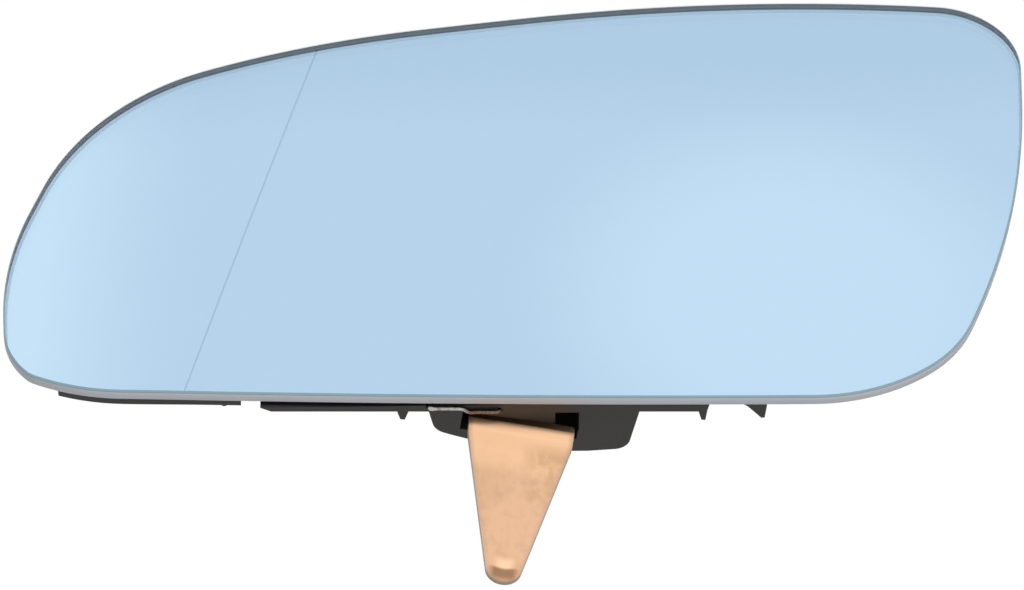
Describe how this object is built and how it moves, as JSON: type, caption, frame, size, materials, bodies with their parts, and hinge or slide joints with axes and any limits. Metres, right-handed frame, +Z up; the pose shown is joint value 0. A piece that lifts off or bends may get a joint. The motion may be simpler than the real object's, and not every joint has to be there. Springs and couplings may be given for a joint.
{
  "type": "car door mirror glass",
  "caption": "Convex door mirror glass with an aspheric outboard zone, on a ribbed black backing plate with an adjuster socket and a swinging sheet-metal locking lever.",
  "frame": {"origin": "centre of the adjuster socket's mouth, on the back", "axes": "+Z up as fitted to the car, -Y the way the glass looks, -X towards its outboard, pointed end"},
  "size_m": [0.1854, 0.0199, 0.1337],
  "materials": {
    "blue_mirror": "blue-tinted first-quality mirror glass with a ground grey edge",
    "heater_film": "thin amber film with adhesive on both faces",
    "black_plastic": "satin moulded black plastic",
    "copper_plate": "copper-plated sheet steel, slightly blotchy",
    "bright_steel": "bright zinc",
    "spring_wire": "drawn bright wire",
    "tinned_brass": "tinned"
  },
  "bodies": {
    "mirror": {"mirror_glass": "blue_mirror", "heater_foil": "heater_film", "backing_plate": "black_plastic", "lever_rivet": "bright_steel", "lever_spring": "spring_wire", "blade_upper": "tinned_brass", "blade_lower": "tinned_brass"},
    "lever": {"lock_lever": "copper_plate"}
  },
  "joints": [
    {"name": "lever_swing", "type": "hinge", "parent": "mirror", "child": "lever", "pos_m": [-0.00137, -0.00643, -0.0416], "axis": [-0.1305, 0.9914, 0], "range_deg": [0, 8], "stiffness_Nm_per_rad": 0.1, "springref_deg": -20.05}
  ]
}
